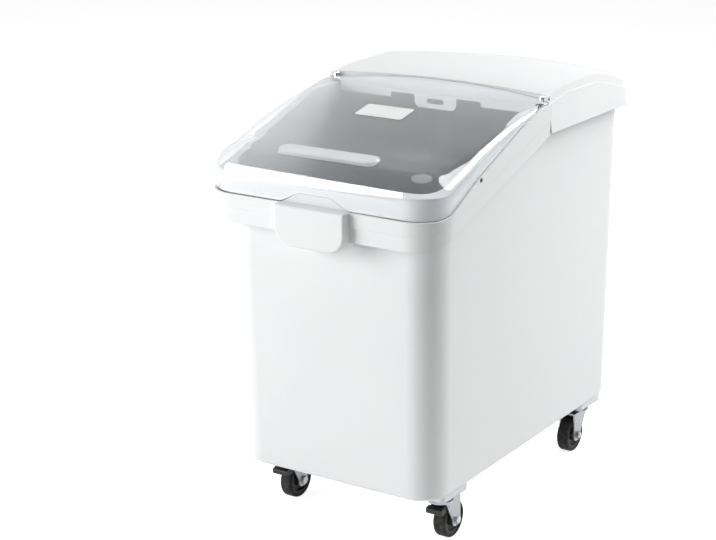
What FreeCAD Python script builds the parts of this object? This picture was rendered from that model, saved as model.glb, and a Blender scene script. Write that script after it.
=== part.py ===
import FreeCAD, Part
import math
import os

from FreeCAD import Vector

# A rolling ingredient bin, in millimetres.  +Z is up, the low front faces -Y, and the origin is on
# the floor under the middle of the bin.

# Body
BASE_HALF_X = 188.5
BASE_FRONT_Y = -294.5
BASE_REAR_Y = 324.5
BASE_Z = 99.0
BODY_CORNER = 48.0
DRAFT = 0.013
WALL = 4.0
FLOOR = 4.5
BASE_EDGE = 7.0

# Rim
RIM_HALF_X = 216.0
RIM_FRONT_Y = -333.0
RIM_CORNER = 56.0
RIM_WALL = 4.0
SKIRT_STEP = 2.5
COLLAR_HALF_X = 207.0
COLLAR_FRONT_Y = -324.0
REAR_COLLAR_HALF_X = 202.5
COLLAR_REAR_Y = 335.0
COLLAR_LIP = 12.0
RIM_LINE_BEND = 70.0

# Seam between the front lid and the rear hood, and the lid's hinge line on it
SEAM_Y = 23.0
HINGE_Z = 688.0
SEAM_BOW = 10.5
SEAM_SET_BACK = 1.0
SEAM_GAP = 0.8
PIN_RADIUS = 2.5
PIN_CLEARANCE = 0.05
KNUCKLE_RADIUS = 5.0
KNUCKLE_INNER_X = 194.5
KNUCKLE_OUTER_X = 203.6
POST_INNER_X = 204.0
POST_OUTER_X = 210.0
GUTTER_END_RADIUS = 6.2
GUTTER_MID_RADIUS = 16.4
GUTTER_WALL = 3.0

# Lid
LID_HALF_X = 213.5
LID_FRONT_Y = -331.0
LID_CORNER = 55.0
LID_WALL = 3.0
LID_EDGE_GAP = 0.4
ARCH_HALF_X = 66.0
ARCH_TOP_HALF_X = 25.0
ARCH_RISE = 17.0
GRIP_LENGTH = 184.0
GRIP_WIDTH = 28.0
GRIP_RISE = 4.0
GRIP_WALL = 3.0
GRIP_Y = -291.0
BUMPER_RADIUS = 3.2
BUMPER_Y = -200.0
BUMPER_Z = 604.0
BUMPER_INNER_X = 210.0
BUMPER_OUTER_X = 216.8

# Hood
HOOD_REAR_Y = 347.5
HOOD_CORNER = 56.0
HOOD_BOTTOM_Z = 633.0
HOOD_FLARE = 0.158
HOOD_WALL = 3.0
HOOD_STEP = 1.5
APRON_FRONT_Y = 19.5
APRON_WALL = 3.0
APRON_HALF_X = 188.0
APRON_BOTTOM_Z = 661.0
TONGUE_HALF_X = 40.0
TONGUE_BOTTOM_Z = 649.0
NOTCH_OUTER_X = 87.0
NOTCH_TOP_Z = 669.0
SLOT_HALF_X = 16.0
SLOT_BOTTOM_Z = 657.0
SLOT_TOP_Z = 665.0
LUG_HALF_WIDTH = 12.0
SIDE_LUG_PLACES = (140.0, 200.0, 260.0)
REAR_LUG_PLACES = (-90.0, 90.0)

# Pull under the front edge
PULL_HALF_X = 65.0
PULL_FRONT_Y = -347.5
PULL_BOTTOM_Z = 498.0
PULL_TOP_Z = 562.0
PULL_REAR_Y = -300.0
PULL_MOUTH_TOP_Z = 530.0
PULL_CORNER = 30.0
PULL_EDGE = 4.0

# Casters
WHEEL_RADIUS = 31.75
TREAD_WIDTH = 22.0
CASTER_X = 151.6
FRONT_KINGPIN_Y = -210.5
REAR_KINGPIN_Y = 261.7
TRAIL = 24.0
PLATE_TOP_Z = 86.0
PLATE_HALF_X = 28.0
PLATE_HALF_Y = 38.0
SCREW_HALF_X = 21.0
SCREW_HALF_Y = 30.0
SCREW_RADIUS = 3.0
SCREW_DEPTH = 12.0
SCREW_HEAD_RADIUS = 5.5
SCREW_HEAD = 3.0

FAR = 400.0


def box(x0, x1, y0, y1, z0, z1):
    return Part.makeBox(x1 - x0, y1 - y0, z1 - z0, Vector(x0, y0, z0))


def rod_x(x0, x1, y, z, radius):
    return Part.makeCylinder(radius, x1 - x0, Vector(x0, y, z), Vector(1, 0, 0))


def rod_z(x, y, z0, z1, radius):
    return Part.makeCylinder(radius, z1 - z0, Vector(x, y, z0), Vector(0, 0, 1))


def ring_z(x, y, z0, z1, outer, inner):
    return rod_z(x, y, z0, z1, outer).cut(rod_z(x, y, z0 - 1, z1 + 1, inner))


def union(shapes):
    return shapes[0].multiFuse(shapes[1:]).removeSplitter()


def at_side(y, z):
    return Vector(0, y, z)


def at_front(x, z):
    return Vector(x, 0, z)


def bent_edges(points, place, closed=False):
    """Straight runs joined by tangent arcs.  Each point is (a, b, bend radius)."""
    corners = []
    count = len(points)
    for i, (a, b, radius) in enumerate(points):
        here = place(a, b)
        is_end = not closed and i in (0, count - 1)
        if radius == 0 or is_end:
            corners.append((here, None, here))
            continue
        before = place(*points[i - 1][:2]) - here
        after = place(*points[(i + 1) % count][:2]) - here
        before.normalize()
        after.normalize()
        half_angle = before.getAngle(after) / 2
        reach = radius / math.tan(half_angle)
        middle = before + after
        middle.normalize()
        depth = radius / math.sin(half_angle) - radius
        corners.append((here + before * reach, here + middle * depth, here + after * reach))
    edges = []
    for i, (start, middle, end) in enumerate(corners):
        if middle is not None:
            edges.append(Part.Arc(start, middle, end).toShape())
        last = i == count - 1
        if last and not closed:
            break
        nxt = corners[(i + 1) % count][0]
        if end.distanceToPoint(nxt) > 1e-6:
            edges.append(Part.LineSegment(end, nxt).toShape())
    return edges


def closed_face(edges):
    return Part.Face(Part.Wire(Part.__sortEdges__(edges)))


def rounded_plate(points, place, start, thickness, direction):
    """A rounded polygon, moved to its start and made thick."""
    face = closed_face(bent_edges(points, place, closed=True))
    face.translate(start)
    return face.extrude(direction * thickness)


def plan_wire(half_x, front_y, rear_y, front_r, rear_r, z):
    points = [
        (-half_x, front_y, front_r),
        (half_x, front_y, front_r),
        (half_x, rear_y, rear_r),
        (-half_x, rear_y, rear_r),
    ]
    return Part.Wire(bent_edges(points, lambda a, b: Vector(a, b, z), closed=True))


def plan_block(half_x, front_y, rear_y, front_r, rear_r, z0, z1):
    wire = plan_wire(half_x, front_y, rear_y, front_r, rear_r, z0)
    return Part.Face(wire).extrude(Vector(0, 0, z1 - z0))


def strip(lower, upper):
    """Everything between two side-view lines, right across the bin.  Each line is [(y, z), ...]."""
    edges = []
    for line in (lower, upper):
        rounded = [(y, z, RIM_LINE_BEND) for y, z in line]
        edges += bent_edges(rounded, at_side)
    for i in (0, -1):
        edges.append(Part.LineSegment(at_side(*lower[i]), at_side(*upper[i])).toShape())
    face = closed_face(edges)
    face.translate(Vector(-FAR, 0, 0))
    return face.extrude(Vector(2 * FAR, 0, 0))


def raised(line, dz):
    return [(y, z + dz) for y, z in line]


# Side-view lines of the rim, front to rear.  They run level, climb, and run level again.
SKIRT_LINE = [(-360, 515), (-324, 515), (33, 633), (60, 633)]
STEP_LINE = [(-360, 539), (-326, 539), (60, 669.5)]
SHOULDER_LINE = [(-360, 562), (-296, 562), (-205, 607), (-80, 656.5), (-8, 681), (60, 681)]
COLLAR_LINE = [(-360, 596), (-284, 596), (-48, 674.2), (35, 674.2), (110, 652), (380, 652)]
HOOD_STEP_LINE = [(-80, 640), (22, 678), (56, 684), (95, 689), (200, 687), (250, 676), (400, 630)]
COLLAR_HIGH_Z = COLLAR_LINE[2][1]
REAR_SHELF_Z = COLLAR_LINE[-1][1]


def body_block(inset, z0, z1):
    """The tapered body between two heights, moved in by an even inset."""
    def wire(z):
        grow = DRAFT * (z - BASE_Z) - inset
        corner = BODY_CORNER - inset
        return plan_wire(BASE_HALF_X + grow, BASE_FRONT_Y - grow, BASE_REAR_Y + grow, corner, corner, z)
    return Part.makeLoft([wire(z0), wire(z1)], True, True)


def bottom_edges(shape, z):
    return [e for e in shape.Edges if abs(e.BoundBox.ZMax - z) < 1e-3]


def rim_ring(outer_inset, inner_inset, z0, z1):
    """A band that follows the rim's outline at the front and sides, up to the seam."""
    def block(inset):
        return plan_block(RIM_HALF_X - inset, RIM_FRONT_Y + inset, FAR,
                          RIM_CORNER - inset, 1.0, z0, z1)
    ring = block(outer_inset).cut(block(inner_inset))
    return ring.common(box(-FAR, FAR, -FAR, SEAM_Y - 0.5, z0, z1))


def collar_block(inset, z0, z1):
    """The collar's outline, wide in front of the seam and narrower under the hood."""
    corner = RIM_CORNER - (RIM_HALF_X - COLLAR_HALF_X) - inset
    front = plan_block(COLLAR_HALF_X - inset, COLLAR_FRONT_Y + inset, SEAM_Y - 0.5, corner, 1, z0, z1)
    rear = plan_block(REAR_COLLAR_HALF_X - inset, SEAM_Y - 60, COLLAR_REAR_Y - inset, 1, corner, z0, z1)
    return front.fuse(rear)


def caster_places():
    for side, x in (("left", -CASTER_X), ("right", CASTER_X)):
        yield "front_" + side, x, FRONT_KINGPIN_Y, 1
        yield "rear_" + side, x, REAR_KINGPIN_Y, -1


def screw_places():
    for _, x, y, _ in caster_places():
        for dx in (-SCREW_HALF_X, SCREW_HALF_X):
            for dy in (-SCREW_HALF_Y, SCREW_HALF_Y):
                yield x + dx, y + dy


def make_pull():
    """The hollow pull under the front edge, open below for the fingers."""
    def block(inset):
        points = [
            (-PULL_HALF_X + inset, PULL_BOTTOM_Z, PULL_CORNER - inset),
            (PULL_HALF_X - inset, PULL_BOTTOM_Z, PULL_CORNER - inset),
            (PULL_HALF_X - inset, PULL_TOP_Z - inset, 3),
            (-PULL_HALF_X + inset, PULL_TOP_Z - inset, 3),
        ]
        front = PULL_FRONT_Y + inset
        return rounded_plate(points, at_front, Vector(0, front, 0), PULL_REAR_Y - front, Vector(0, 1, 0))
    outer = block(0)
    front_edges = [e for e in outer.Edges if abs(e.BoundBox.YMax - PULL_FRONT_Y) < 1e-3]
    outer = outer.makeFillet(PULL_EDGE, front_edges)
    finger_space = block(RIM_WALL)
    mouth_half_x = PULL_HALF_X - PULL_CORNER
    reach = box(-mouth_half_x, mouth_half_x, PULL_FRONT_Y + RIM_WALL, PULL_REAR_Y,
                PULL_BOTTOM_Z - 1, PULL_MOUTH_TOP_Z)
    return outer, finger_space.fuse(reach)


def make_tub():
    outer = body_block(0, BASE_Z, 690)
    outer = outer.makeFillet(BASE_EDGE, bottom_edges(outer, BASE_Z))
    inner = body_block(WALL, BASE_Z + FLOOR, 690)
    inner = inner.makeFillet(BASE_EDGE - 1, bottom_edges(inner, BASE_Z + FLOOR))
    shelf_bottom = raised(COLLAR_LINE, -WALL)
    below_collar = strip([(-360, 0), (360, 0)], COLLAR_LINE)
    wall = outer.cut(inner).common(below_collar)

    shelf = collar_block(0, 500, 700).common(strip(shelf_bottom, COLLAR_LINE)).cut(inner)

    # The collar reaches from the shelf to the shoulder, which crosses above it near the seam.
    meet_y = -24.0
    meet = [p for p in SHOULDER_LINE if p[0] < meet_y]
    low = raised(meet, -WALL) + [(meet_y, COLLAR_HIGH_Z - WALL), (60, COLLAR_HIGH_Z - WALL)]
    high = COLLAR_LINE[:3] + [(meet_y, COLLAR_HIGH_Z)] + [p for p in SHOULDER_LINE if p[0] > meet_y]
    ring = collar_block(0, 500, 700).cut(collar_block(RIM_WALL, 499, 701))
    to_seam = box(-FAR, FAR, -FAR, SEAM_Y - 0.5, 0, FAR * 2)
    front_collar = ring.common(strip(low, high)).common(to_seam)
    rear_collar = ring.common(strip(raised(COLLAR_LINE, -COLLAR_LIP), COLLAR_LINE))
    rear_collar = rear_collar.common(box(-FAR, FAR, SEAM_Y - 5, FAR, 500, 700))

    collar_inset = RIM_HALF_X - COLLAR_HALF_X + RIM_WALL
    shoulder = rim_ring(0, collar_inset, 500, 720).common(strip(raised(SHOULDER_LINE, -WALL), SHOULDER_LINE))
    band = rim_ring(0, RIM_WALL, 500, 720).common(strip(STEP_LINE, SHOULDER_LINE))
    step = rim_ring(0, RIM_WALL + SKIRT_STEP, 500, 720).common(strip(STEP_LINE, raised(STEP_LINE, 3)))
    skirt = rim_ring(SKIRT_STEP, RIM_WALL + SKIRT_STEP, 500, 720)
    skirt = skirt.common(strip(SKIRT_LINE, raised(STEP_LINE, 1)))

    pull, finger_space = make_pull()
    rim = union([shoulder, band, step, skirt, pull]).cut(finger_space)

    pads = []
    for _, x, y, _ in caster_places():
        pad = plan_block(PLATE_HALF_X + 1, -PLATE_HALF_Y - 1, PLATE_HALF_Y + 1, 8, 8,
                         PLATE_TOP_Z, BASE_Z + 2)
        pad.translate(Vector(x, y, 0))
        pads.append(pad)

    tub = union([wall, shelf, front_collar, rear_collar, rim] + pads)
    tub = tub.cut(inner)
    for x, y in screw_places():
        tub = tub.cut(rod_z(x, y, PLATE_TOP_Z - 1, PLATE_TOP_Z + SCREW_DEPTH + 1, SCREW_RADIUS))
    for side in (-1, 1):
        start = min(side * 193, side * 217)
        tub = tub.cut(rod_x(start, start + 24, SEAM_Y, HINGE_Z, KNUCKLE_RADIUS + 1.5))
        tub = tub.cut(bumper(side))
    return tub


def bumper(side):
    """A rubber button let into the rim under the lid's edge, on the side away from the middle."""
    a, b = sorted((side * BUMPER_INNER_X, side * BUMPER_OUTER_X))
    return rod_x(a, b, BUMPER_Y, BUMPER_Z, BUMPER_RADIUS)


# Lid stations along the bin: y, height in the middle, height at the flank, flank slope, edge radius
LID_STATIONS = [
    (-276, 638, 638, 0.266, 45),
    (-232, 650, 645.5, 0.19, 29),
    (-188, 661.7, 655.5, 0.13, 17),
    (-81, 683.5, 677, 0.10, 10),
    (-20, 691.2, 685.3, 0.08, 6),
    (60, 701.4, 695.5, 0.07, 4),
]
ARC_STEPS = 7
CROWN_STEPS = 6


def smooth_edge(points):
    curve = Part.BSplineCurve()
    curve.interpolate(points)
    return curve.toShape()


def shoulder_points(reach, flank_z, slope, edge):
    """From the top of an upright wall over a round edge and up a slope, as (distance in, height)."""
    tilt = math.atan(slope)
    centre_z = flank_z - slope * (reach - edge) - edge / math.cos(tilt)
    points = []
    for i in range(ARC_STEPS + 1):
        turn = math.pi + (math.pi / 2 + tilt - math.pi) * i / ARC_STEPS
        points.append((edge + edge * math.cos(turn), centre_z + edge * math.sin(turn)))
    foot_in, foot_z = points[-1]
    for part in (0.33, 0.66, 1.0):
        points.append((foot_in + (reach - foot_in) * part, foot_z + (flank_z - foot_z) * part))
    return points


def lid_block(inset):
    """The space under the lid's skin, moved in by an even inset."""
    flank_x = LID_HALF_X - LID_CORNER
    corner_y = LID_FRONT_Y + LID_CORNER
    half_x = LID_HALF_X - inset
    reach = LID_CORNER - inset
    low = 520.0
    drop = inset * 1.03

    # The front and its two corners: one profile, straight in the middle and turned at the corners
    _, _, flank_z, slope, edge = LID_STATIONS[0]
    over = [at_side(corner_y - reach + d, z)
            for d, z in shoulder_points(reach, flank_z - drop, slope, edge - inset)]
    foot = at_side(corner_y - reach, low)
    back = at_side(corner_y, low)
    lines = [Part.LineSegment(p, q).toShape() for p, q in ((over[-1], back), (back, foot), (foot, over[0]))]
    face = closed_face([smooth_edge(over)] + lines)
    middle = face.copy()
    middle.translate(Vector(-flank_x, 0, 0))
    parts = [middle.extrude(Vector(2 * flank_x, 0, 0))]
    for side in (-1, 1):
        turned = face.copy()
        turned.translate(Vector(side * flank_x, 0, 0))
        axis_point = Vector(side * flank_x, corner_y, 0)
        parts.append(turned.revolve(axis_point, Vector(0, 0, 1), side * 90))

    # Behind the corners the section changes smoothly from station to station
    wires = []
    for y, mid_z, flank_z, slope, edge in LID_STATIONS:
        flank_z -= drop
        rise = mid_z - drop - flank_z
        over = shoulder_points(reach, flank_z, slope, max(edge - inset, 1.0))
        left = [Vector(-half_x + d, y, z) for d, z in over]
        right = [Vector(half_x - d, y, z) for d, z in reversed(over)]
        crown = []
        for i in range(CROWN_STEPS + 1):
            across = -1 + 2 * i / CROWN_STEPS
            crown.append(Vector(across * flank_x, y, flank_z + rise * (1 - across ** 2)))
        foot_left = Vector(-half_x, y, low)
        foot_right = Vector(half_x, y, low)
        lines = [Part.LineSegment(p, q).toShape()
                 for p, q in ((right[-1], foot_right), (foot_right, foot_left), (foot_left, left[0]))]
        wires.append(Part.Wire([smooth_edge(left), smooth_edge(crown), smooth_edge(right)] + lines))
    parts.append(Part.makeLoft(wires, True, False))
    return union(parts)


def seam_front(offset, z0, z1):
    """Everything in front of the bowed seam, moved to the rear by an offset."""
    y = SEAM_Y + SEAM_SET_BACK + offset
    end = KNUCKLE_INNER_X
    points = [Vector(-end, y, z0), Vector(0, y + SEAM_BOW, z0), Vector(end, y, z0)]
    arc = Part.Arc(*points).toShape()
    outline = [points[2], Vector(FAR, y, z0), Vector(FAR, -FAR, z0), Vector(-FAR, -FAR, z0),
               Vector(-FAR, y, z0), points[0]]
    edges = [arc] + [Part.LineSegment(a, b).toShape() for a, b in zip(outline, outline[1:])]
    return closed_face(edges).extrude(Vector(0, 0, z1 - z0))


def oblong(length, width, z0, z1):
    radius = width / 2
    return plan_block(length / 2, GRIP_Y - radius, GRIP_Y + radius, radius - 0.01, radius - 0.01, z0, z1)


def make_lid():
    shell = lid_block(0).cut(lid_block(LID_WALL))
    above_rim = strip(raised(SHOULDER_LINE, LID_EDGE_GAP), [(-360, 800), (60, 800)])
    shell = shell.common(above_rim).common(seam_front(0, 500, 800))

    # A shallow arch in the front edge lets the fingers in
    arch_z = SHOULDER_LINE[0][1]
    arch = [
        (-ARCH_HALF_X, arch_z - 5, 0),
        (-ARCH_HALF_X, arch_z, 0),
        (-ARCH_TOP_HALF_X, arch_z + ARCH_RISE, 30),
        (ARCH_TOP_HALF_X, arch_z + ARCH_RISE, 30),
        (ARCH_HALF_X, arch_z, 0),
        (ARCH_HALF_X, arch_z - 5, 0),
    ]
    shell = shell.cut(rounded_plate(arch, at_front, Vector(0, -340, 0), 30, Vector(0, 1, 0)))

    # A raised oblong on the front slope, hollow below, is the place to push the lid up
    grip = lid_block(-GRIP_RISE).cut(lid_block(1)).common(oblong(GRIP_LENGTH, GRIP_WIDTH, 600, 680))
    grip_inside = oblong(GRIP_LENGTH - 2 * GRIP_WALL, GRIP_WIDTH - 2 * GRIP_WALL, 560, 681)
    grip_inside = grip_inside.common(lid_block(GRIP_WALL - GRIP_RISE))

    pieces = [shell.fuse(grip).cut(grip_inside)]
    for side in (-1, 1):
        x0 = min(side * KNUCKLE_INNER_X, side * KNUCKLE_OUTER_X)
        pieces.append(rod_x(x0, x0 + KNUCKLE_OUTER_X - KNUCKLE_INNER_X, SEAM_Y, HINGE_Z, KNUCKLE_RADIUS))
    lid = union(pieces)
    for side in (-1, 1):
        inner, outer = side * KNUCKLE_OUTER_X, side * FAR
        lid = lid.cut(box(min(inner, outer), max(inner, outer), SEAM_Y - 7, FAR, 500, 800))
        inner, outer = side * (KNUCKLE_INNER_X - 1), side * FAR
        lid = lid.cut(rod_x(min(inner, outer), max(inner, outer), SEAM_Y, HINGE_Z,
                            PIN_RADIUS + PIN_CLEARANCE))
    return lid


# Hood stations along the bin: y, height at the side, height in the middle
HOOD_STATIONS = [
    (0, 687, 691.5),
    (40, 696, 701.5),
    (80, 700, 709),
    (150, 701, 711.5),
    (205, 700, 711),
    (255, 689, 701),
    (300, 675, 688),
    (380, 644, 658),
]


def hood_block(inset, extra_top=0.0):
    """The space under the hood's skin: flared walls under a crowned top."""
    def wire(z):
        grow = HOOD_FLARE * (HOOD_BOTTOM_Z - z) - inset
        corner = HOOD_CORNER + grow
        return plan_wire(RIM_HALF_X + grow, -60.0, HOOD_REAR_Y + grow, 1.0, corner, z)
    walls = Part.makeLoft([wire(HOOD_BOTTOM_Z - 1), wire(730)], True, True)
    reach = 230.0
    side_x = 205.0
    sections = []
    for y, side_z, mid_z in HOOD_STATIONS:
        mid = mid_z - inset + extra_top
        end = mid - (mid_z - side_z) * (reach / side_x) ** 2
        left, right = Vector(-reach, y, end), Vector(reach, y, end)
        low_right, low_left = Vector(reach, y, 600), Vector(-reach, y, 600)
        arc = Part.Arc(left, Vector(0, y, mid), right).toShape()
        lines = [Part.LineSegment(p, q).toShape()
                 for p, q in ((right, low_right), (low_right, low_left), (low_left, left))]
        sections.append(Part.Wire([arc] + lines))
    top = Part.makeLoft(sections, True, False)
    return walls.common(top)


def barrel(grow):
    """The turning space of the lid's rear edge, a barrel round the hinge line."""
    end_x = POST_INNER_X
    line = [
        Vector(-end_x, SEAM_Y, HINGE_Z),
        Vector(-end_x, SEAM_Y, HINGE_Z + GUTTER_END_RADIUS + grow),
        Vector(0, SEAM_Y, HINGE_Z + GUTTER_MID_RADIUS + grow),
        Vector(end_x, SEAM_Y, HINGE_Z + GUTTER_END_RADIUS + grow),
        Vector(end_x, SEAM_Y, HINGE_Z),
    ]
    edges = [
        Part.LineSegment(line[0], line[1]).toShape(),
        Part.Arc(line[1], line[2], line[3]).toShape(),
        Part.LineSegment(line[3], line[4]).toShape(),
        Part.LineSegment(line[4], line[0]).toShape(),
    ]
    return closed_face(edges).revolve(line[0], Vector(1, 0, 0), 360)


def make_apron():
    """The hanging front edge of the hood, with two notches and a slotted tongue for a scoop."""
    def plate(points):
        return rounded_plate(points, at_front, Vector(0, APRON_FRONT_Y, 0), APRON_WALL, Vector(0, 1, 0))
    main = plate([(-APRON_HALF_X, APRON_BOTTOM_Z, 5), (APRON_HALF_X, APRON_BOTTOM_Z, 5),
                  (APRON_HALF_X, 684, 0), (-APRON_HALF_X, 684, 0)])
    tongue = plate([(-TONGUE_HALF_X, TONGUE_BOTTOM_Z, 10), (TONGUE_HALF_X, TONGUE_BOTTOM_Z, 10),
                    (TONGUE_HALF_X, 675, 0), (-TONGUE_HALF_X, 675, 0)])
    round_end = (SLOT_TOP_Z - SLOT_BOTTOM_Z) / 2 - 0.1
    slot = plate([(-SLOT_HALF_X, SLOT_BOTTOM_Z, round_end), (SLOT_HALF_X, SLOT_BOTTOM_Z, round_end),
                  (SLOT_HALF_X, SLOT_TOP_Z, round_end), (-SLOT_HALF_X, SLOT_TOP_Z, round_end)])
    apron = main
    for side in (-1, 1):
        a, b = sorted((side * TONGUE_HALF_X, side * NOTCH_OUTER_X))
        apron = apron.cut(plate([(a, 600, 0), (b, 600, 0), (b, NOTCH_TOP_Z, 4), (a, NOTCH_TOP_Z, 4)]))
    return apron.fuse(tongue).cut(slot)


def make_hood():
    outer = hood_block(0)
    band = hood_block(0).cut(hood_block(HOOD_STEP, HOOD_STEP))
    outer = outer.cut(band.common(strip(HOOD_STEP_LINE, [(-80, 800), (400, 800)])))
    inner = hood_block(HOOD_WALL + HOOD_STEP, HOOD_STEP)
    shell = outer.cut(inner).cut(box(-FAR, FAR, -FAR, FAR, 500, HOOD_BOTTOM_Z))
    shell = shell.cut(seam_front(SEAM_GAP, 500, 800))

    gutter = barrel(GUTTER_WALL).cut(barrel(0)).common(hood_block(0.5))
    gutter = gutter.common(box(-FAR, FAR, APRON_FRONT_Y, FAR, 600, 800))
    gutter = gutter.cut(box(-FAR, FAR, 0, SEAM_Y + 2, HINGE_Z - 3, 800))
    for side in (-1, 1):
        a, b = sorted((side * (REAR_COLLAR_HALF_X - 0.5), side * FAR))
        gutter = gutter.cut(box(a, b, 0, SEAM_Y, 600, 800))

    # The seat rests on the tub's shelf, and lugs on the skirt hook under the shelf's lip
    seat_z = REAR_SHELF_Z + 0.2
    seat = collar_block(-6, seat_z, seat_z + 3).cut(collar_block(7, seat_z - 1, seat_z + 4))
    seat = seat.common(box(-FAR, FAR, 125, FAR, 0, 800)).common(hood_block(1))
    lug_top = REAR_SHELF_Z - COLLAR_LIP - 0.5
    lug_bottom = HOOD_BOTTOM_Z + 0.5
    lugs = []
    for y in SIDE_LUG_PLACES:
        for side in (-1, 1):
            a, b = sorted((side * (REAR_COLLAR_HALF_X - 2), side * (RIM_HALF_X - HOOD_WALL)))
            lugs.append(box(a, b, y - LUG_HALF_WIDTH, y + LUG_HALF_WIDTH, lug_bottom, lug_top))
    for x in REAR_LUG_PLACES:
        lugs.append(box(x - LUG_HALF_WIDTH, x + LUG_HALF_WIDTH, COLLAR_REAR_Y - 2, HOOD_REAR_Y - 2.5,
                        lug_bottom, lug_top))

    posts = []
    for side in (-1, 1):
        a, b = sorted((side * POST_INNER_X, side * POST_OUTER_X))
        post = rod_x(a, b, SEAM_Y, HINGE_Z, KNUCKLE_RADIUS)
        web = box(a, b, SEAM_Y, SEAM_Y + 9, HINGE_Z - KNUCKLE_RADIUS, HINGE_Z + KNUCKLE_RADIUS)
        posts += [post, web]

    hood = union([shell.cut(barrel(0)), gutter, seat, make_apron().cut(barrel(0))] + lugs + posts)
    for side in (-1, 1):
        a, b = sorted((side * (POST_INNER_X - 1), side * FAR))
        hood = hood.cut(rod_x(a, b, SEAM_Y, HINGE_Z, PIN_RADIUS))
    return hood


def make_pin(side):
    a, b = sorted((side * (KNUCKLE_INNER_X + 1.5), side * POST_OUTER_X))
    return rod_x(a, b, SEAM_Y, HINGE_Z, PIN_RADIUS)


# Heights in a caster, all above the floor
PLATE_WALL = 2.5
RACE_BOTTOM_Z = 80.4
BALL_RADIUS = 3.0
BALL_CIRCLE = 15.0
FORK_TOP_Z = 74.0
FORK_WALL = 3.0
FORK_INNER_X = 12.6
KINGPIN_RADIUS = 5.0
AXLE_RADIUS = 4.0
SLEEVE_RADIUS = 6.0
HUB_CLEARANCE = 0.05
BRAKE_PIVOT_Y = 3.0
BRAKE_PIVOT_Z = 61.0
BRAKE_PIN_RADIUS = 2.0


def hexagon(across, x0, x1):
    """A hexagonal bar along X on the axle line."""
    radius = across / math.sqrt(3)
    points = [Vector(x0, radius * math.cos(math.radians(60 * i)), radius * math.sin(math.radians(60 * i)))
              for i in range(6)]
    return Part.Face(Part.makePolygon(points + points[:1])).extrude(Vector(x1 - x0, 0, 0))


def mounting_plate():
    plate = plan_block(PLATE_HALF_X, -PLATE_HALF_Y, PLATE_HALF_Y, 6, 6, PLATE_TOP_Z - PLATE_WALL, PLATE_TOP_Z)
    race = ring_z(0, 0, RACE_BOTTOM_Z, PLATE_TOP_Z - PLATE_WALL, 20, 10)
    plate = plate.fuse(race).cut(rod_z(0, 0, 0, PLATE_TOP_Z + 1, KINGPIN_RADIUS))
    for x in (-SCREW_HALF_X, SCREW_HALF_X):
        for y in (-SCREW_HALF_Y, SCREW_HALF_Y):
            plate = plate.cut(rod_z(x, y, 0, PLATE_TOP_Z + 1, SCREW_RADIUS + 0.4))
    return plate


def kingpin():
    head_top = FORK_TOP_Z - FORK_WALL - 0.3
    shank = rod_z(0, 0, head_top - 4, PLATE_TOP_Z, KINGPIN_RADIUS)
    return shank.fuse(rod_z(0, 0, head_top - 4, head_top, 8.5))


def ball_ring():
    balls = []
    for i in range(12):
        angle = math.radians(30 * i)
        centre = Vector(BALL_CIRCLE * math.cos(angle), BALL_CIRCLE * math.sin(angle),
                        FORK_TOP_Z + BALL_RADIUS + 0.1)
        balls.append(Part.makeSphere(BALL_RADIUS, centre))
    return Part.makeCompound(balls)


def fork():
    outer_x = FORK_INNER_X + FORK_WALL
    top = union([
        rod_z(0, 0, FORK_TOP_Z - FORK_WALL, FORK_TOP_Z, 21),
        box(-outer_x, outer_x, -10, TRAIL + 12, FORK_TOP_Z - FORK_WALL, FORK_TOP_Z),
    ])
    profile = [
        (-10, FORK_TOP_Z, 2),
        (TRAIL + 12, FORK_TOP_Z, 2),
        (TRAIL + 12, 21, 9),
        (TRAIL - 10, 21, 8),
        (TRAIL - 12, 34, 6),
    ]
    legs = []
    for x in (-outer_x, FORK_INNER_X):
        legs.append(rounded_plate(profile, at_side, Vector(x, 0, 0), FORK_WALL, Vector(1, 0, 0)))
    whole = union([top] + legs)
    whole = whole.cut(rod_z(0, 0, 0, 100, KINGPIN_RADIUS + 0.06))
    return whole.cut(rod_x(-30, 30, TRAIL, WHEEL_RADIUS, AXLE_RADIUS))


def axle_bolt():
    outer_x = FORK_INNER_X + FORK_WALL
    shank = rod_x(-outer_x - 5.5, outer_x + 1, 0, 0, AXLE_RADIUS)
    head = hexagon(12, outer_x, outer_x + 4.5)
    bolt = shank.fuse(head)
    bolt.translate(Vector(0, TRAIL, WHEEL_RADIUS))
    return bolt


def axle_nut():
    outer_x = FORK_INNER_X + FORK_WALL
    nut = hexagon(12, -outer_x - 4.5, -outer_x).cut(rod_x(-40, 0, 0, 0, AXLE_RADIUS))
    nut.translate(Vector(0, TRAIL, WHEEL_RADIUS))
    return nut


def hub_sleeve():
    sleeve = rod_x(-FORK_INNER_X, FORK_INNER_X, 0, 0, SLEEVE_RADIUS)
    sleeve = sleeve.cut(rod_x(-40, 40, 0, 0, AXLE_RADIUS))
    sleeve.translate(Vector(0, TRAIL, WHEEL_RADIUS))
    return sleeve


def wheel_profile(points):
    """Turn a half section (x, radius) into a wheel part on the axle."""
    edges = bent_edges(points, at_front, closed=True)
    part = closed_face(edges).revolve(Vector(0, 0, 0), Vector(1, 0, 0), 360)
    part.translate(Vector(0, TRAIL, WHEEL_RADIUS))
    return part


TYRE_INNER = 25.0


def wheel_core():
    half = TREAD_WIDTH / 2
    bore = SLEEVE_RADIUS + HUB_CLEARANCE
    return wheel_profile([
        (-half - 0.6, bore, 0), (half + 0.6, bore, 0), (half + 0.6, 10.5, 1), (4, 12, 1.5), (4, 20, 1.5),
        (half - 1, 21.5, 1), (half - 1, TYRE_INNER, 0), (-half + 1, TYRE_INNER, 0), (-half + 1, 21.5, 1),
        (-4, 20, 1.5), (-4, 12, 1.5), (-half - 0.6, 10.5, 1),
    ])


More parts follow.
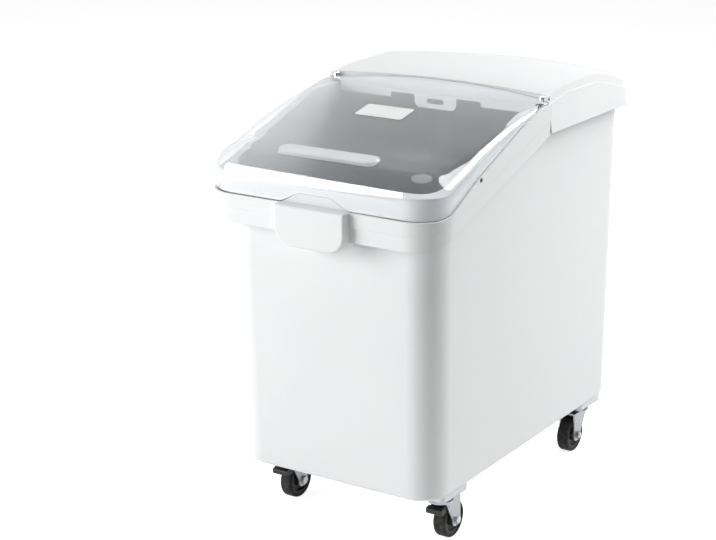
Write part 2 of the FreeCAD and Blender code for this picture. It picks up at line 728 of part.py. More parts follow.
def tyre():
    half = TREAD_WIDTH / 2
    return wheel_profile([
        (-half, TYRE_INNER, 0), (half, TYRE_INNER, 0), (half, WHEEL_RADIUS, 4), (-half, WHEEL_RADIUS, 4),
    ])


def brake_pedal():
    """A lever across the fork.  Its lip points forward, and its shoe faces the tread."""
    half_arm = FORK_INNER_X - 0.5
    lever = [
        (BRAKE_PIVOT_Y + 4.6, BRAKE_PIVOT_Z + 1.6, 3),
        (BRAKE_PIVOT_Y - 2, BRAKE_PIVOT_Z + 4.2, 3),
        (-14, 63.5, 3),
        (-14, 54, 2),
        (-4, 51, 2),
        (BRAKE_PIVOT_Y + 3, BRAKE_PIVOT_Z - 1.8, 1.5),
    ]
    arm = rounded_plate(lever, at_side, Vector(-half_arm, 0, 0), 2 * half_arm, Vector(1, 0, 0))
    lip = [(-11, 64.5, 2), (-22, 62, 2.5), (-21, 52.5, 2.5), (-11, 53.5, 2)]
    pad = rounded_plate(lip, at_side, Vector(-14.5, 0, 0), 29, Vector(1, 0, 0))
    pedal = arm.fuse(pad)
    return pedal.cut(rod_x(-30, 30, BRAKE_PIVOT_Y, BRAKE_PIVOT_Z, BRAKE_PIN_RADIUS + 0.05))


def brake_pin():
    outer_x = FORK_INNER_X + FORK_WALL
    return rod_x(-outer_x - 0.8, outer_x + 0.8, BRAKE_PIVOT_Y, BRAKE_PIVOT_Z, BRAKE_PIN_RADIUS)


def caster_screws():
    screws = []
    head_top = PLATE_TOP_Z - PLATE_WALL
    head_bottom = head_top - SCREW_HEAD
    for x, y in screw_places():
        shank = rod_z(x, y, head_top - 1, PLATE_TOP_Z + SCREW_DEPTH, SCREW_RADIUS)
        head = rod_z(x, y, head_bottom, head_top, SCREW_HEAD_RADIUS)
        head = head.makeFillet(SCREW_HEAD / 2, bottom_edges(head, head_bottom))
        screws.append(shank.fuse(head))
    return Part.makeCompound(screws)


def place_caster(shape, x, y, facing):
    """Casters trail to the rear (facing 1) or to the front (facing -1)."""
    moved = shape.copy()
    if facing < 0:
        moved.rotate(Vector(0, 0, 0), Vector(0, 0, 1), 180)
    moved.translate(Vector(x, y, 0))
    return moved


def write(name, shape):
    shape.exportStep("parts/" + name + ".step")
    solids = len(shape.Solids)
    print(name, "solids", solids, "valid", shape.isValid(), "volume", round(shape.Volume / 1000, 2), "ml")


os.makedirs("parts", exist_ok=True)

write("tub", make_tub())
write("lid", make_lid())
write("hood", make_hood())
for side, sign in (("left", -1), ("right", 1)):
    write("lid_hinge_pin_" + side, make_pin(sign))
    write("lid_bumper_" + side, bumper(sign))
write("caster_screws", caster_screws())

CASTER_PIECES = {
    "mounting_plate": mounting_plate(),
    "kingpin": kingpin(),
    "swivel_balls": ball_ring(),
    "fork": fork(),
    "axle_bolt": axle_bolt(),
    "axle_nut": axle_nut(),
    "hub_sleeve": hub_sleeve(),
    "wheel_core": wheel_core(),
    "tyre": tyre(),
}
BRAKE_PIECES = {"brake_pedal": brake_pedal(), "brake_pin": brake_pin()}

for place, x, y, facing in caster_places():
    pieces = dict(CASTER_PIECES)
    if facing > 0:
        pieces.update(BRAKE_PIECES)
        pieces["fork"] = pieces["fork"].cut(BRAKE_PIECES["brake_pin"])
    for piece, shape in pieces.items():
        write(place + "_" + piece, place_caster(shape, x, y, facing))
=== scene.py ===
import math
import bmesh
import bpy
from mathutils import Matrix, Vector


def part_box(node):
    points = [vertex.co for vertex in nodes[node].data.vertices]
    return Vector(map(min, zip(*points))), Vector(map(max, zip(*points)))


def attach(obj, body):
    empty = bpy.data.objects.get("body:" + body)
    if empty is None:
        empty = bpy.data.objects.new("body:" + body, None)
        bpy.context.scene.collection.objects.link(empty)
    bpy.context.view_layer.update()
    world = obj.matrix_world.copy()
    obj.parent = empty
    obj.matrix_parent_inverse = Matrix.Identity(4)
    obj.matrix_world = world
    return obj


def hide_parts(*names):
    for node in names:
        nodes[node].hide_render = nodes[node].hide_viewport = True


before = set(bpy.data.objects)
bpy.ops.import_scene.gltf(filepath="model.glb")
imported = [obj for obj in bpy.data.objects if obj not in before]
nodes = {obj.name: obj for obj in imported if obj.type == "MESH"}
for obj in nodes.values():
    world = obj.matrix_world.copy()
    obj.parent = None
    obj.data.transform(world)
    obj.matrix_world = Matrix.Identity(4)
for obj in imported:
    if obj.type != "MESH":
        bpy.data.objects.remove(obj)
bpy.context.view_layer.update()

# The tub: one deep bin of white polypropylene, injection moulded with 4 mm walls.
# Its sides lean out for the mould, and a thick rim with a hollow pull runs round its slanted mouth.
# The skin is a fine even grain with a soft sheen, and its edges are rounded by the mould.
MOULD_EDGE = 0.0012
MOULD_GRAIN = 900.0
WHITE_SHADES = ((0.800, 0.806, 0.815, 1), (0.835, 0.838, 0.842, 1))
WHITE_RUBBED = (0.74, 0.74, 0.735, 1)
DUST_COLOR = (0.36, 0.34, 0.31, 1)
DUST_TOP = 0.075


def link(tree, source, socket, target, entry):
    tree.links.new(source.outputs[socket], target.inputs[entry])


def new_group(name, inputs, outputs):
    """A shader group with sockets given as (name, kind); returns it with its two end nodes."""
    tree = bpy.data.node_groups.new(name, "ShaderNodeTree")
    for socket, kind in inputs:
        tree.interface.new_socket(socket, in_out="INPUT", socket_type="NodeSocket" + kind)
    for socket, kind in outputs:
        tree.interface.new_socket(socket, in_out="OUTPUT", socket_type="NodeSocket" + kind)
    return tree, tree.nodes.new("NodeGroupInput"), tree.nodes.new("NodeGroupOutput")


def noise(tree, scale, detail, stretch=(1, 1, 1)):
    """A noise texture on the piece's own coordinates."""
    place = tree.nodes.new("ShaderNodeTexCoord")
    sized = tree.nodes.new("ShaderNodeMapping")
    sized.inputs["Scale"].default_value = stretch
    texture = tree.nodes.new("ShaderNodeTexNoise")
    texture.inputs["Scale"].default_value = scale
    texture.inputs["Detail"].default_value = detail
    link(tree, place, "Object", sized, "Vector")
    link(tree, sized, "Vector", texture, "Vector")
    return texture


def ranged(tree, source, socket, low, high, to_low=0.0, to_high=1.0):
    """Stretches the part of a value between low and high over a new range."""
    spread = tree.nodes.new("ShaderNodeMapRange")
    spread.inputs["From Min"].default_value = low
    spread.inputs["From Max"].default_value = high
    spread.inputs["To Min"].default_value = to_low
    spread.inputs["To Max"].default_value = to_high
    link(tree, source, socket, spread, "Value")
    return spread


def product(tree, first, first_socket, second, second_socket):
    node = tree.nodes.new("ShaderNodeMath")
    node.operation = "MULTIPLY"
    link(tree, first, first_socket, node, 0)
    link(tree, second, second_socket, node, 1)
    return node


def skin_group():
    """Moulded skin: slow changes of shade and sheen, and a height for its fine grain."""
    tree, start, end = new_group(
        "moulded_skin",
        [("Shade A", "Color"), ("Shade B", "Color"), ("Blotch scale", "Float"), ("Grain scale", "Float"),
         ("Smoothest", "Float"), ("Roughest", "Float")],
        [("Color", "Color"), ("Roughness", "Float"), ("Height", "Float")])
    blotch = noise(tree, 9, 4)
    link(tree, start, "Blotch scale", blotch, "Scale")
    shade = tree.nodes.new("ShaderNodeMix")
    shade.data_type = "RGBA"
    link(tree, blotch, "Fac", shade, "Factor")
    tree.links.new(start.outputs["Shade A"], shade.inputs[6])
    tree.links.new(start.outputs["Shade B"], shade.inputs[7])
    tree.links.new(shade.outputs[2], end.inputs["Color"])
    sheen = ranged(tree, blotch, "Fac", 0.3, 0.7)
    link(tree, start, "Smoothest", sheen, "To Min")
    link(tree, start, "Roughest", sheen, "To Max")
    link(tree, sheen, "Result", end, "Roughness")
    grain = noise(tree, 900, 2)
    link(tree, start, "Grain scale", grain, "Scale")
    link(tree, grain, "Fac", end, "Height")
    return tree


def wear_group():
    """Wear: where edges are rubbed by use, and where dust has settled low down and on ledges."""
    tree, start, end = new_group(
        "edge_wear_and_dust",
        [("Rounded normal", "Vector"), ("Rub", "Float"), ("Dust", "Float"), ("Dust top", "Float")],
        [("Rubbed", "Float"), ("Dusty", "Float")])
    facing = tree.nodes.new("ShaderNodeNewGeometry")
    agree = tree.nodes.new("ShaderNodeVectorMath")
    agree.operation = "DOT_PRODUCT"
    link(tree, facing, "True Normal", agree, 0)
    link(tree, start, "Rounded normal", agree, 1)
    edge = ranged(tree, agree, "Value", 0.995, 0.90)
    patches = ranged(tree, noise(tree, 60, 5), "Fac", 0.42, 0.62)
    rubbed = product(tree, edge, "Result", patches, "Result")
    link(tree, product(tree, rubbed, "Value", start, "Rub"), "Value", end, "Rubbed")
    split = tree.nodes.new("ShaderNodeSeparateXYZ")
    link(tree, facing, "Position", split, "Vector")
    low = ranged(tree, split, "Z", 0, 1, 1, 0)
    link(tree, start, "Dust top", low, "From Max")
    specks = ranged(tree, noise(tree, 140, 6), "Fac", 0.40, 0.75)
    dusty = product(tree, low, "Result", specks, "Result")
    link(tree, product(tree, dusty, "Value", start, "Dust"), "Value", end, "Dusty")
    return tree


moulded_skin = skin_group()
edge_wear = wear_group()


def blended(tree, wear, mask, source, socket, color):
    """Mixes a plain colour over a colour by one of the wear masks."""
    mix = tree.nodes.new("ShaderNodeMix")
    mix.data_type = "RGBA"
    link(tree, wear, mask, mix, "Factor")
    tree.links.new(source.outputs[socket], mix.inputs[6])
    mix.inputs[7].default_value = color
    return mix


def moulded(name, shades, grain, smoothest, roughest, edge, rubbed, rub, dust, height=0.00002):
    """A moulded material: grain, edges rounded in its shading, rubbed corners and dust low down."""
    material = bpy.data.materials.new(name)
    material.use_nodes = True
    tree = material.node_tree
    shader = tree.nodes["Principled BSDF"]
    skin = tree.nodes.new("ShaderNodeGroup")
    skin.node_tree = moulded_skin
    skin.inputs["Shade A"].default_value = shades[0]
    skin.inputs["Shade B"].default_value = shades[1]
    skin.inputs["Blotch scale"].default_value = 9
    skin.inputs["Grain scale"].default_value = grain
    skin.inputs["Smoothest"].default_value = smoothest
    skin.inputs["Roughest"].default_value = roughest
    rounding = tree.nodes.new("ShaderNodeBevel")
    rounding.samples = 8
    rounding.inputs["Radius"].default_value = edge
    wear = tree.nodes.new("ShaderNodeGroup")
    wear.node_tree = edge_wear
    link(tree, rounding, "Normal", wear, "Rounded normal")
    wear.inputs["Rub"].default_value = rub
    wear.inputs["Dust"].default_value = dust
    wear.inputs["Dust top"].default_value = DUST_TOP
    worn = blended(tree, wear, "Rubbed", skin, "Color", rubbed)
    dusted = blended(tree, wear, "Dusty", worn, 2, DUST_COLOR)
    tree.links.new(dusted.outputs[2], shader.inputs["Base Color"])
    matt = tree.nodes.new("ShaderNodeMath")
    matt.operation = "ADD"
    matt.use_clamp = True
    link(tree, skin, "Roughness", matt, 0)
    link(tree, wear, "Dusty", matt, 1)
    link(tree, matt, "Value", shader, "Roughness")
    bump = tree.nodes.new("ShaderNodeBump")
    bump.inputs["Strength"].default_value = 0.35
    bump.inputs["Distance"].default_value = height
    link(tree, skin, "Height", bump, "Height")
    link(tree, rounding, "Normal", bump, "Normal")
    link(tree, bump, "Normal", shader, "Normal")
    return material


def dress(names, material):
    """Puts the material on CAD nodes that keep their own mesh."""
    for name in names:
        data = nodes[name].data
        data.materials.clear()
        data.materials.append(material)


white = moulded("white_polypropylene", WHITE_SHADES, MOULD_GRAIN, 0.44, 0.54, MOULD_EDGE, WHITE_RUBBED, 0.5, 0)
white.node_tree.nodes["Principled BSDF"].inputs["Specular IOR Level"].default_value = 0.42
dress(["tub"], white)

# The hood: the white rear half of the top, of the same polypropylene with 3 mm walls.
# It snaps over the tub's rear collar, and the lid's hinge barrels sit in its front edge.
dress(["hood"], white)

# The lid: one clear polycarbonate moulding, 3 mm thick, that swings up at its rear edge.
# It slopes to the front and rounds over into low walls, with a raised hollow grip on the slope,
# an arch in its front edge for the fingers and a hinge barrel at each rear corner.
LID_LOW, LID_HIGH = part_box("lid")
LID_HALF_X = LID_HIGH.x
LID_FRONT_Y = LID_LOW.y
LID_CORNER = 0.055
LID_WALL = 0.003
LID_DROP = 0.0031
FLANK_X = LID_HALF_X - LID_CORNER
CORNER_Y = LID_FRONT_Y + LID_CORNER
FRONT_SLOPE = 0.266
LID_BEND = 0.014
HINGE_Y = 0.023
HINGE_Z = 0.688
SEAM_END_Y = 0.024
SEAM_BOW = 0.0105
BARREL_INNER_X = 0.1945
BARREL_OUTER_X = 0.2036
STEP_X = 0.2015
BARREL_RADIUS = 0.005
PIN_HOLE_RADIUS = 0.00255
LID_EDGE_GAP = 0.0004
# Heights along the lid: y, middle, flank, the flank's slope and the edge's radius
LID_STATIONS = (
    (-0.276, 0.6380, 0.6380, 0.266, 0.045),
    (-0.232, 0.6500, 0.6455, 0.190, 0.029),
    (-0.188, 0.6617, 0.6555, 0.130, 0.017),
    (-0.081, 0.6835, 0.6770, 0.100, 0.010),
    (-0.020, 0.6912, 0.6853, 0.080, 0.006),
    (0.024, 0.6961, 0.6904, 0.075, 0.005),
    (0.060, 0.7014, 0.6955, 0.070, 0.004),
)
# The rim's shoulder under the lid's lower edge, from its level front: y, change of slope and half bend
SHOULDER_FRONT_Z = 0.562
SHOULDER_BENDS = (
    (-0.296, 0.4945, 0.0155),
    (-0.205, -0.0985, 0.0026),
    (-0.080, -0.0557, 0.0016),
    (-0.008, -0.3403, 0.0113),
)
ARCH_HALF_X = 0.066
ARCH_TOP_HALF_X = 0.025
ARCH_RISE = 0.017
GRIP_LENGTH = 0.184
GRIP_WIDTH = 0.028
GRIP_RISE = 0.004
GRIP_Y = -0.291
GRIP_SIDE = 0.0022



def even_curve(points, first_slope=None):
    """A smooth curve through the points that never overshoots them."""
    steps = [(b[1] - a[1]) / (b[0] - a[0]) for a, b in zip(points, points[1:])]
    slopes = [steps[0]]
    for before, after in zip(steps, steps[1:]):
        slopes.append(0 if before * after <= 0 else 2 * before * after / (before + after))
    slopes.append(steps[-1])
    if first_slope is not None:
        slopes[0] = first_slope

    def value(y):
        if y <= points[0][0]:
            return points[0][1] + (slopes[0] if first_slope is not None else 0) * (y - points[0][0])
        for i, (a, b) in enumerate(zip(points, points[1:])):
            if y <= b[0]:
                span = b[0] - a[0]
                t = (y - a[0]) / span
                return (a[1] * (1 + 2 * t) * (1 - t) ** 2 + slopes[i] * span * t * (1 - t) ** 2
                        + b[1] * t * t * (3 - 2 * t) + slopes[i + 1] * span * t * t * (t - 1))
        return points[-1][1]
    return value


middle_height = even_curve([(s[0], s[1]) for s in LID_STATIONS], FRONT_SLOPE)
flank_height = even_curve([(s[0], s[2]) for s in LID_STATIONS], FRONT_SLOPE)
flank_slope = even_curve([(s[0], s[3]) for s in LID_STATIONS])
edge_radius = even_curve([(s[0], s[4]) for s in LID_STATIONS])


def past(distance, bend):
    """How far past a line a point is, with a soft start, so that two slopes meet in a gentle bend."""
    if distance > bend:
        return distance
    return max(distance + bend, 0) ** 2 / (4 * bend)


def skin_height(x, y):
    """The lid's outer skin without its rounded edge."""
    middle = middle_height(y)
    rise = middle - flank_height(y)
    across = abs(x) / FLANK_X
    crown = across ** 2 if across < 1 else 2 * across - 1
    aside = past(abs(x) - FLANK_X, LID_BEND)
    ahead = past(CORNER_Y - y, LID_BEND)
    around = math.hypot(aside, ahead) - ahead
    return middle - rise * crown - (flank_slope(y) - 2 * rise / FLANK_X) * around


def grip_inside(x, y):
    """How far a point is inside the grip's outline."""
    radius = GRIP_WIDTH / 2
    straight = GRIP_LENGTH / 2 - radius
    return radius - math.hypot(max(abs(x) - straight, 0), y - GRIP_Y)


def ease(t):
    t = min(max(t, 0), 1)
    return t * t * (3 - 2 * t)


def lid_height(x, y, inward, inset):
    """The height of the lid's outer (inset 0) or inner skin, a distance inward from its outline."""
    edge = max(edge_radius(y) - inset, 0.0008)
    inward -= inset
    tilt = math.atan(flank_slope(y))
    height = skin_height(x, y) + GRIP_RISE * ease((grip_inside(x, y) - inset) / GRIP_SIDE)
    if inset:
        height -= LID_DROP
    if inward < edge * (1 - math.sin(tilt)):
        short = edge - inward
        height += math.tan(tilt) * short - edge / math.cos(tilt) + math.sqrt(max(edge ** 2 - short ** 2, 0))
    return height


def lower_edge(x, y):
    """The lid's lower edge: just above the rim's shoulder, with the arch in the front."""
    low = SHOULDER_FRONT_Z + LID_EDGE_GAP
    for bend_y, slope, half_bend in SHOULDER_BENDS:
        low += slope * past(y - bend_y, half_bend)
    if y < CORNER_Y and abs(x) < ARCH_HALF_X:
        low += ARCH_RISE * ease((ARCH_HALF_X - abs(x)) / (ARCH_HALF_X - ARCH_TOP_HALF_X))
    return low


def rear_edge(x):
    """The y of the lid's rear edge, which bows to the rear and steps in beside the barrels."""
    if abs(x) > STEP_X:
        return HINGE_Y - 0.007
    return SEAM_END_Y + SEAM_BOW * max(1 - (x / BARREL_INNER_X) ** 2, 0)


def spaced(count, start, end):
    return [start + (end - start) * i / count for i in range(count + 1)]


SIDE_STEPS = 72
CORNER_STEPS = 16
FRONT_STEPS = 168
WALL_STEPS = 6
RING_STEPS = 34
RING_EVEN = 0.35
along_shares = spaced(SIDE_STEPS, 0, 1)
front_places = spaced(FRONT_STEPS, -FLANK_X, FLANK_X)
ring_shares = [share * (RING_EVEN + (1 - RING_EVEN) * share) for share in spaced(RING_STEPS, 0, 1)]

# The outline, from the left rear corner round the front: a kind of place and a share or an angle
outline = [("side", -1, share) for share in reversed(along_shares)]
outline += [("corner", -1, math.pi / 2 * i / CORNER_STEPS) for i in range(1, CORNER_STEPS)]
outline += [("front", 0, x) for x in front_places]
outline += [("corner", 1, math.pi / 2 * i / CORNER_STEPS) for i in range(CORNER_STEPS - 1, 0, -1)]
outline += [("side", 1, share) for share in along_shares]


def outline_point(kind, side, value, inward):
    if kind == "front":
        return value, LID_FRONT_Y + inward
    if kind == "corner":
        reach = LID_CORNER - inward
        return side * (FLANK_X + reach * math.cos(value)), CORNER_Y - reach * math.sin(value)
    x = side * (LID_HALF_X - inward)
    return x, CORNER_Y + value * (rear_edge(x) - CORNER_Y)


def lid_skin(mesh, inset):
    """One skin of the lid as a grid of columns round the outline, and a grid over the middle."""
    columns = []
    for kind, side, value in outline:
        column = []
        x, y = outline_point(kind, side, value, inset)
        low = lower_edge(x, y)
        top = max(lid_height(x, y, inset, inset), low)
        for z in spaced(WALL_STEPS, low, top)[:-1]:
            column.append(mesh.verts.new((x, y, z)))
        for share in ring_shares:
            inward = inset + (LID_CORNER - inset) * share
            x, y = outline_point(kind, side, value, inward)
            column.append(mesh.verts.new((x, y, max(lid_height(x, y, inward, inset), low))))
        columns.append(column)
    rows = []
    for share in along_shares:
        row = []
        for x in front_places:
            y = CORNER_Y + share * (rear_edge(x) - CORNER_Y)
            row.append(mesh.verts.new((x, y, lid_height(x, y, LID_CORNER, inset))))
        rows.append(row)
    return columns, rows


def net(mesh, lines, turned):
    """Faces between neighbouring lines of points."""
    for first, second in zip(lines, lines[1:]):
        for a, b, c, d in zip(first, first[1:], second[1:], second):
            mesh.faces.new((a, b, c, d) if turned else (d, c, b, a))


def tube(mesh, x0, x1, y, z, outer, inner, steps=40):
    """A tube along X with slightly rounded ends."""
    round_end = outer * 0.12
    section = [(x0, inner), (x0, outer - round_end), (x0 + round_end, outer),
               (x1 - round_end, outer), (x1, outer - round_end), (x1, inner)]
    rings = []
    for i in range(steps):
        turn = math.tau * i / steps
        rings.append([mesh.verts.new((x, y + radius * math.cos(turn), z + radius * math.sin(turn)))
                      for x, radius in section])
    for ring, nxt in zip(rings, rings[1:] + rings[:1]):
        for i in range(len(section)):
            j = (i + 1) % len(section)
            mesh.faces.new((ring[i], ring[j], nxt[j], nxt[i]))


def mesh_data(name, mesh):
    """Turns a bmesh into smooth shaded mesh data."""
    data = bpy.data.meshes.new(name)
    mesh.to_mesh(data)
    mesh.free()
    for face in data.polygons:
        face.use_smooth = True
    return data


def finished(data, body, slot, *replaced):
    """Makes mesh data a piece at the origin that rides on a body and stands for CAD nodes."""
    made = bpy.data.objects.new(data.name, data)
    bpy.context.scene.collection.objects.link(made)
    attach(made, body)
    if replaced:
        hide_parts(*replaced)
    return made


CLEAR_TINT = (0.955, 0.968, 0.975, 1)
EDGE_TINT = (0.62, 0.66, 0.69, 1)


def clear_plastic(name, transmission, smoothest, roughest):
    """Clear sheet that looks darker where it is seen edge on, and lets light through to the inside."""
    material = bpy.data.materials.new(name)
    material.use_nodes = True
    tree = material.node_tree
    shader = tree.nodes["Principled BSDF"]
    shader.inputs["IOR"].default_value = 1.5
    shader.inputs["Transmission Weight"].default_value = transmission
    edge_on = tree.nodes.new("ShaderNodeLayerWeight")
    edge_on.inputs["Blend"].default_value = 0.35
    deep = ranged(tree, edge_on, "Facing", 0.45, 1.0)
    tint = tree.nodes.new("ShaderNodeMix")
    tint.data_type = "RGBA"
    link(tree, deep, "Result", tint, "Factor")
    tint.inputs[6].default_value = CLEAR_TINT
    tint.inputs[7].default_value = EDGE_TINT
    tree.links.new(tint.outputs[2], shader.inputs["Base Color"])
    hairlines = ranged(tree, noise(tree, 70, 6, (1, 0.04, 1)), "Fac", 0.45, 0.75, smoothest, roughest)
    link(tree, hairlines, "Result", shader, "Roughness")
    bump = tree.nodes.new("ShaderNodeBump")
    bump.inputs["Strength"].default_value = 0.15
    bump.inputs["Distance"].default_value = 0.00018
    link(tree, noise(tree, 14, 1), "Fac", bump, "Height")
    link(tree, bump, "Normal", shader, "Normal")
    through = tree.nodes.new("ShaderNodeBsdfTransparent")
    through.inputs["Color"].default_value = (0.92, 0.93, 0.94, 1)
    path = tree.nodes.new("ShaderNodeLightPath")
    straight = tree.nodes.new("ShaderNodeMath")
    straight.operation = "MAXIMUM"
    link(tree, path, "Is Shadow Ray", straight, 0)
    link(tree, path, "Is Diffuse Ray", straight, 1)
    choice = tree.nodes.new("ShaderNodeMixShader")
    output = tree.nodes["Material Output"]
    link(tree, straight, "Value", choice, 0)
    link(tree, shader, "BSDF", choice, 1)
    link(tree, through, "BSDF", choice, 2)
    link(tree, choice, "Shader", output, "Surface")
    return material


clear = clear_plastic("clear_polycarbonate", 1, 0.012, 0.08)
frosted = clear_plastic("frosted_polycarbonate", 0.62, 0.3, 0.45)

mesh = bmesh.new()
outer_columns, outer_rows = lid_skin(mesh, 0)
inner_columns, inner_rows = lid_skin(mesh, LID_WALL)
net(mesh, outer_columns, False)
net(mesh, outer_rows, True)
net(mesh, inner_columns, True)
net(mesh, inner_rows, False)
net(mesh, [[column[0] for column in inner_columns], [column[0] for column in outer_columns]], True)
rear_outer = outer_columns[0] + outer_rows[-1][1:-1] + outer_columns[-1][::-1]
rear_inner = inner_columns[0] + inner_rows[-1][1:-1] + inner_columns[-1][::-1]
net(mesh, [rear_inner, rear_outer], False)
bmesh.ops.remove_doubles(mesh, verts=mesh.verts, dist=1e-6)
bmesh.ops.dissolve_degenerate(mesh, edges=mesh.edges, dist=1e-7)
for side in (-1, 1):
    ends = sorted((side * BARREL_INNER_X, side * BARREL_OUTER_X))
    tube(mesh, *ends, HINGE_Y, HINGE_Z, BARREL_RADIUS, PIN_HOLE_RADIUS)
data = mesh_data("lid_shell", mesh)
data.materials.append(clear)
data.materials.append(frosted)
for face in data.polygons:
    x, y, z = face.center
    face.material_index = int(grip_inside(x, y) > GRIP_SIDE and z > skin_height(x, y) - LID_WALL)
finished(data, "lid", "clear_plastic", "lid")

# The blank label: a bare rounded piece of thin white film stuck on the lid near its seam.
# It is a tenth of a millimetre thick, follows the lid's crown and has a slight paper tooth.
LABEL_HALF_X = 0.044
LABEL_HALF_Y = 0.0215
LABEL_Y = -0.134
LABEL_CORNER = 0.005
LABEL_THICK = 0.00012
CORNER_TURNS = 8
LABEL_RINGS = (1.0, 0.9985, 0.9, 0.7, 0.45, 0.2)


def rounded_outline(half_x, half_y, corner, turns):
    """Points round a rounded oblong, counter-clockwise."""
    points = []
    for quarter, (sx, sy) in enumerate(((1, 1), (-1, 1), (-1, -1), (1, -1))):
        for i in range(turns + 1):
            turn = math.pi / 2 * (quarter + i / turns)
            points.append((sx * (half_x - corner) + corner * math.cos(turn),
                           sy * (half_y - corner) + corner * math.sin(turn)))
    return points


mesh = bmesh.new()
label_outline = rounded_outline(LABEL_HALF_X, LABEL_HALF_Y, LABEL_CORNER, CORNER_TURNS)
lines = []
for lift, shares in ((0, reversed(LABEL_RINGS)), (LABEL_THICK, LABEL_RINGS)):
    for share in shares:
        line = []
        for x, y in label_outline:
            height = skin_height(x * share, LABEL_Y + y * share) + 0.00003
            line.append(mesh.verts.new((x * share, LABEL_Y + y * share, height + lift)))
        lines.append(line + line[:1])
net(mesh, lines, True)
mesh.faces.new(lines[0][-2::-1])
mesh.faces.new(lines[-1][:-1])
film = moulded("label_film", ((0.80, 0.80, 0.79, 1), (0.85, 0.85, 0.845, 1)), 2600, 0.42, 0.5, 0.0001,
               (0.70, 0.69, 0.67, 1), 0.6, 0, 0.00001)
data = mesh_data("blank_label", mesh)
data.materials.append(film)
finished(data, "lid", "white_moulded")

# The hinge pins: two short steel rods with a dark oil-blacked skin, pressed into the hood's posts.
# The lid's barrels turn on them, and only their ends and what shows through the lid can be seen.
BLACKED = ((0.045, 0.046, 0.050, 1), (0.075, 0.076, 0.080, 1))


def metallic(material):
    material.node_tree.nodes["Principled BSDF"].inputs["Metallic"].default_value = 1
    return material


blacked_steel = metallic(moulded("blacked_steel", BLACKED, 1500, 0.3, 0.42, 0.0003, (0.35, 0.35, 0.36, 1), 0.8, 0))
dress(["lid_hinge_pin_left", "lid_hinge_pin_right"], blacked_steel)

# The lid buttons: two small dark rubber plugs pushed into holes in the rim, one at each side.
# They keep the lid's edge from rattling on the rim.
rubber = moulded("dark_rubber", ((0.05, 0.05, 0.052, 1), (0.065, 0.065, 0.067, 1)), 1200, 0.6, 0.75, 0.0006,
                 (0.12, 0.12, 0.12, 1), 0.5, 0)
dress(["lid_bumper_left", "lid_bumper_right"], rubber)

# The caster frames: a pressed steel plate and fork, zinc plated, on a riveted kingpin.
# The plating is a real zinc grey darkened further as painted shade for the shadow under the bin, with slow cloudy
# changes, and dust gathers near the floor.
CASTERS = ("front_left", "front_right", "rear_left", "rear_right")
# Painted shade: these zinc tones are darker than bright plating, so that the frames and screws look shaded under
# the bin.
ZINC_TONES_WITH_PAINTED_SHADE = ((0.24, 0.25, 0.27, 1), (0.40, 0.41, 0.43, 1))
zinc_with_painted_shade = metallic(moulded("zinc_plate_with_painted_shade", ZINC_TONES_WITH_PAINTED_SHADE, 700, 0.24, 0.44, 0.0005, (0.62, 0.62, 0.62, 1), 0.8, 0.4))
BRIGHT = ((0.40, 0.40, 0.41, 1), (0.52, 0.52, 0.53, 1))
steel = metallic(moulded("bright_steel", BRIGHT, 1500, 0.22, 0.34, 0.0003, (0.66, 0.66, 0.67, 1), 0.8, 0.25))
for caster in CASTERS:
    dress([f"{caster}_{part}" for part in ("mounting_plate", "fork", "axle_nut")], zinc_with_painted_shade)
    dress([f"{caster}_{part}" for part in ("kingpin", "swivel_balls", "axle_bolt", "hub_sleeve")], steel)

# The wheels: a black nylon core moulded with spokes, and a soft black tread round it.
# The tread is scuffed grey and dusty where it rolls.
nylon = moulded("black_nylon", ((0.012, 0.012, 0.013, 1), (0.022, 0.022, 0.023, 1)), 1000, 0.36, 0.5, 0.0008,
                (0.08, 0.08, 0.08, 1), 0.6, 0.15)
tread = moulded("black_tread", ((0.010, 0.010, 0.010, 1), (0.024, 0.0235, 0.023, 1)), 800, 0.55, 0.75, 0.001,
                (0.07, 0.068, 0.066, 1), 0.7, 0.25, 0.00006)
nylon.node_tree.nodes["Principled BSDF"].inputs["Specular IOR Level"].default_value = 0.3
tread.node_tree.nodes["Principled BSDF"].inputs["Specular IOR Level"].default_value = 0.15
for caster in CASTERS:
    dress([f"{caster}_wheel_core"], nylon)
    dress([f"{caster}_tyre"], tread)

# The brakes: a black nylon foot pedal on a steel pin in each front fork.
# The toe is rubbed a little paler by shoes.
for caster in CASTERS[:2]:
    dress([f"{caster}_brake_pedal"], nylon)
    dress([f"{caster}_brake_pin"], steel)

# The plate screws: sixteen zinc plated pan-head screws with a cross recess, four in each plate.
# They are driven up through the plates into the pads under the tub's floor.
SCREW_HALF_X = 0.021
SCREW_HALF_Y = 0.030
SCREW_HEAD_RADIUS = 0.0055
SCREW_HEAD_HEIGHT = 0.003
SCREW_SHANK_RADIUS = 0.00285
RECESS_LENGTH = 0.0058
RECESS_WIDTH = 0.0011
RECESS_DEPTH = 0.0017
SCREW_SEED = 5


